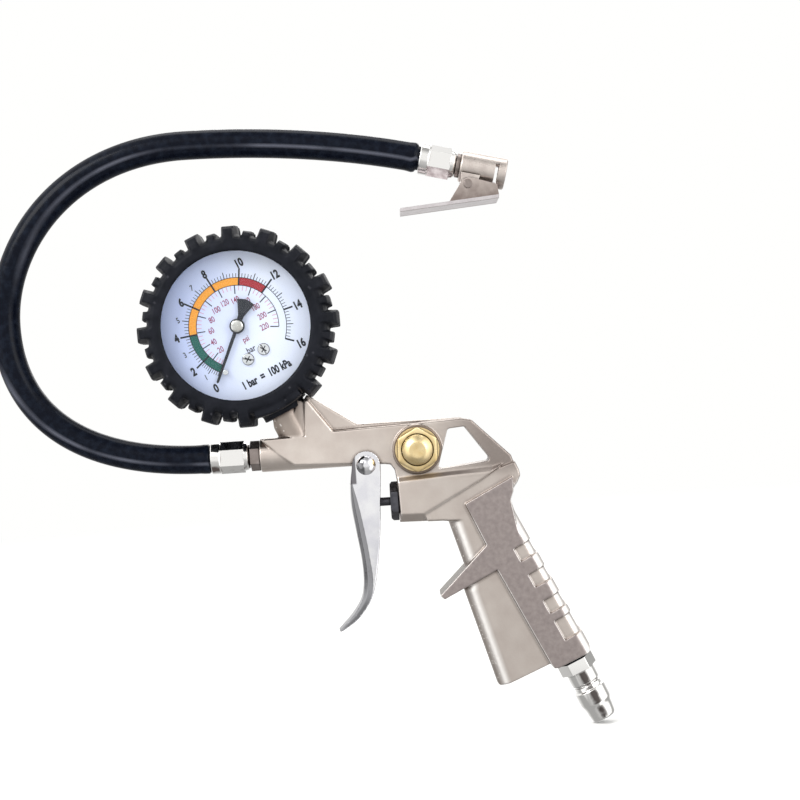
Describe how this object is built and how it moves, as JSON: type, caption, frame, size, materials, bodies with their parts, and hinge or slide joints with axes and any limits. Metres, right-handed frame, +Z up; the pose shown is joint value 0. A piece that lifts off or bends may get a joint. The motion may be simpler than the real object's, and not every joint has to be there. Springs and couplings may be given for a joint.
{
  "type": "tyre inflator with gauge",
  "caption": "Pistol-grip tyre inflator: trigger valve, rubber-booted dial gauge, pressure release button, hose and clip-on chuck.",
  "frame": {"origin": "centre of the air inlet plug's sealing land, on the plug's axis and in the gun's middle plane", "axes": "+Z up along the upright gun, +X from the hose port towards the grip, gauge dial faces -Y"},
  "size_m": [0.2294, 0.0316, 0.2371],
  "materials": {
    "cast_nickel": "satin nickel over die casting",
    "chuck_nickel": "satin nickel",
    "chrome": "bright chrome",
    "bright_steel": "bright plated",
    "dark_steel": "black oxide",
    "spring_steel": "drawn wire",
    "brass": "machined",
    "rubber": "black rubber",
    "case_paint": "black enamel",
    "dial_paint": "white enamel",
    "window": "clear"
  },
  "bodies": {
    "gun": {"bezel_ring": "case_paint", "bleed_nut": "brass", "bleed_spring": "spring_steel", "bourdon_tip": "brass", "bourdon_tube": "brass", "chuck_body": "chuck_nickel", "chuck_depressor": "bright_steel", "chuck_hose_ferrule": "bright_steel", "chuck_hose_nipple": "bright_steel", "chuck_pin": "chuck_nickel", "chuck_seal": "rubber", "chuck_spring": "spring_steel", "dial_posts": "brass", "dial_screws": "bright_steel", "gauge_case": "case_paint", "gauge_dial": "dial_paint", "gauge_lens": "window", "gauge_socket": "brass", "gauge_washer": "rubber", "gland_nut": "dark_steel", "gun_body": "cast_nickel", "gun_hose_ferrule": "bright_steel", "gun_hose_nipple": "bright_steel", "hairspring": "spring_steel", "hose": "rubber", "inlet_plug": "bright_steel", "inlet_washer": "rubber", "movement_pillars": "brass", "movement_plates": "brass", "movement_screws": "bright_steel", "rubber_boot": "rubber", "socket_screws": "bright_steel", "stem_o_ring": "rubber", "stop_pin": "bright_steel", "trigger_pin": "chrome", "valve_seat": "brass", "valve_spring": "spring_steel"},
    "trigger": {"trigger": "chrome"},
    "stem": {"valve_stem": "dark_steel", "poppet": "brass", "poppet_seal": "rubber"},
    "button": {"bleed_button": "brass", "bleed_stem": "brass", "bleed_seal": "rubber"},
    "needle": {"pointer": "case_paint", "pointer_cap": "bright_steel", "pinion": "brass"},
    "sector": {"sector_gear": "brass"},
    "link": {"link": "brass"},
    "lever": {"chuck_lever": "chuck_nickel"}
  },
  "joints": [
    {"name": "trigger_pull", "type": "hinge", "parent": "gun", "child": "trigger", "pos_m": [-0.08089, 0, 0.0939], "axis": [0, -1, 0], "range_deg": [0, 14]},
    {"name": "valve_slide", "type": "slide", "parent": "gun", "child": "stem", "axis": [1, 0, 0], "range_m": [0, 0.00365], "deforming": ["valve_spring"]},
    {"name": "bleed_press", "type": "slide", "parent": "gun", "child": "button", "axis": [0, 1, 0], "range_m": [0, 0.0018], "deforming": ["bleed_spring"]},
    {"name": "pointer_turn", "type": "hinge", "parent": "gun", "child": "needle", "pos_m": [-0.12559, 0, 0.1494], "axis": [0, 1, 0], "range_deg": [0, 266], "stiffness_Nm_per_rad": 0.00002, "deforming": ["hairspring"]},
    {"name": "sector_swing", "type": "hinge", "parent": "gun", "child": "sector", "pos_m": [-0.11326, 0, 0.15489], "axis": [0, 1, 0], "range_deg": [-33.4, 0], "stiffness_Nm_per_rad": 0.01},
    {"name": "link_rise", "type": "slide", "parent": "gun", "child": "link", "axis": [-0.4067, 0, 0.9135], "range_m": [0, 0.00184]},
    {"name": "lever_squeeze", "type": "hinge", "parent": "gun", "child": "lever", "pos_m": [-0.03519, 0, 0.1981], "axis": [0, 1, 0], "range_deg": [0, 17], "deforming": ["chuck_spring"]}
  ],
  "couplings": [
    {"joint": "valve_slide", "follows": "trigger_pull", "m_per_rad": 0.01475},
    {"joint": "sector_swing", "follows": "pointer_turn", "ratio": -0.125},
    {"joint": "link_rise", "follows": "pointer_turn", "m_per_rad": 0.00039441}
  ]
}
